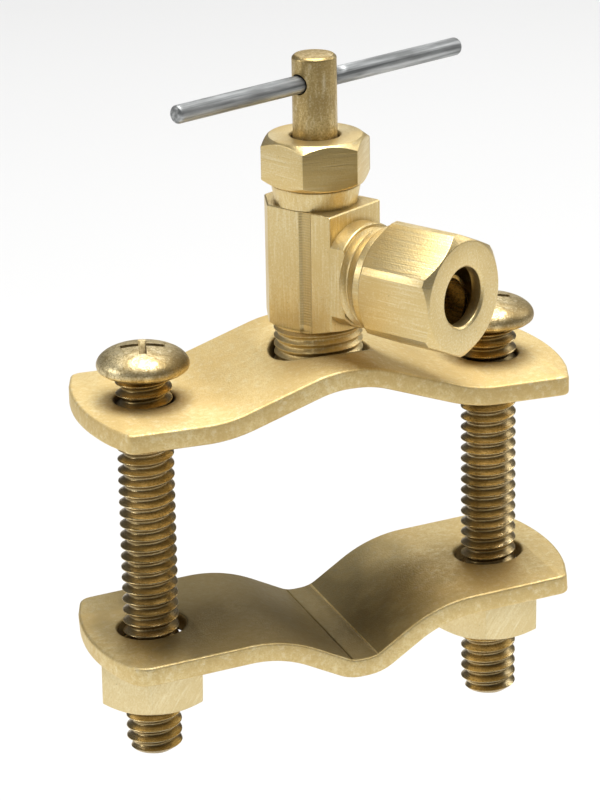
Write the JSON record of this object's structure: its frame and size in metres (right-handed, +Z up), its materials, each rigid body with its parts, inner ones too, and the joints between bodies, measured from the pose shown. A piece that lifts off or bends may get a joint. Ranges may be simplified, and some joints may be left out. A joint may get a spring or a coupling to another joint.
{
  "type": "saddle needle valve",
  "caption": "Brass saddle needle valve with a steel T-bar, a compression outlet for small tube and a two-plate screw clamp for a pipe.",
  "frame": {"origin": "middle of the pipe seat: the valve's axis where it meets the underside of the upper plate's arch", "axes": "+Z up the valve's stem, +X along the plates from the left clamp screw to the right one, +Y along the pipe"},
  "size_m": [0.0553, 0.0315, 0.0776],
  "materials": {
    "plate_brass": "satin, tumbled",
    "bar_brass": "turned and brushed",
    "screw_brass": "rolled, bright",
    "zinc_steel": "zinc plated",
    "hard_steel": "ground",
    "rubber": "matte",
    "packing": "matte"
  },
  "bodies": {
    "saddle": {"upper_plate": "plate_brass", "saddle_gasket": "rubber", "valve_body": "bar_brass", "stem_packing": "packing", "clamp_screw_left": "screw_brass", "clamp_screw_right": "screw_brass"},
    "jaw": {"lower_plate": "plate_brass"},
    "left_nut": {"clamp_nut_left": "bar_brass"},
    "right_nut": {"clamp_nut_right": "bar_brass"},
    "needle_rod": {"needle": "hard_steel"},
    "stem": {"valve_stem": "bar_brass", "handle_bar": "zinc_steel"},
    "gland_ring": {"packing_follower": "bar_brass"},
    "gland_nut": {"packing_nut": "bar_brass"},
    "outlet_ferrule": {"ferrule": "bar_brass"},
    "outlet_nut": {"compression_nut": "bar_brass"}
  },
  "joints": [
    {"name": "jaw_lift", "type": "slide", "parent": "saddle", "child": "jaw", "axis": [0, 0, 1], "range_m": [-0.00508, 0.01778]},
    {"name": "left_nut_turn", "type": "hinge", "parent": "jaw", "child": "left_nut", "pos_m": [-0.02025, 0, -0.0343], "axis": [0, 0, 1], "range_deg": [-1441, 5041]},
    {"name": "right_nut_turn", "type": "hinge", "parent": "jaw", "child": "right_nut", "pos_m": [0.02025, 0, -0.0318], "axis": [0, 0, 1], "range_deg": [-1441, 5041]},
    {"name": "stem_lift", "type": "slide", "parent": "saddle", "child": "needle_rod", "axis": [0, 0, 1], "range_m": [0, 0.00423]},
    {"name": "stem_turn", "type": "hinge", "parent": "needle_rod", "child": "stem", "pos_m": [0, 0, 0.0315], "axis": [0, 0, 1], "range_deg": [0, 1440]},
    {"name": "gland_lift", "type": "slide", "parent": "saddle", "child": "gland_ring", "axis": [0, 0, 1], "range_m": [0, 0.00265]},
    {"name": "gland_nut_turn", "type": "hinge", "parent": "gland_ring", "child": "gland_nut", "pos_m": [0, 0, 0.0233], "axis": [0, 0, 1], "range_deg": [0, 900]},
    {"name": "ferrule_shift", "type": "slide", "parent": "saddle", "child": "outlet_ferrule", "axis": [0.5105, -0.8599, 0], "range_m": [0, 0.00423]},
    {"name": "outlet_nut_turn", "type": "hinge", "parent": "outlet_ferrule", "child": "outlet_nut", "pos_m": [0.00771, -0.01298, 0.01095], "axis": [0.5105, -0.8599, 0], "range_deg": [0, 1440]}
  ],
  "couplings": [
    {"joint": "left_nut_turn", "follows": "jaw_lift", "rad_per_m": 4947.4},
    {"joint": "right_nut_turn", "follows": "jaw_lift", "rad_per_m": 4947.4},
    {"joint": "stem_turn", "follows": "stem_lift", "rad_per_m": 5936.9},
    {"joint": "gland_nut_turn", "follows": "gland_lift", "rad_per_m": 5936.9},
    {"joint": "outlet_nut_turn", "follows": "ferrule_shift", "rad_per_m": 5936.9}
  ]
}
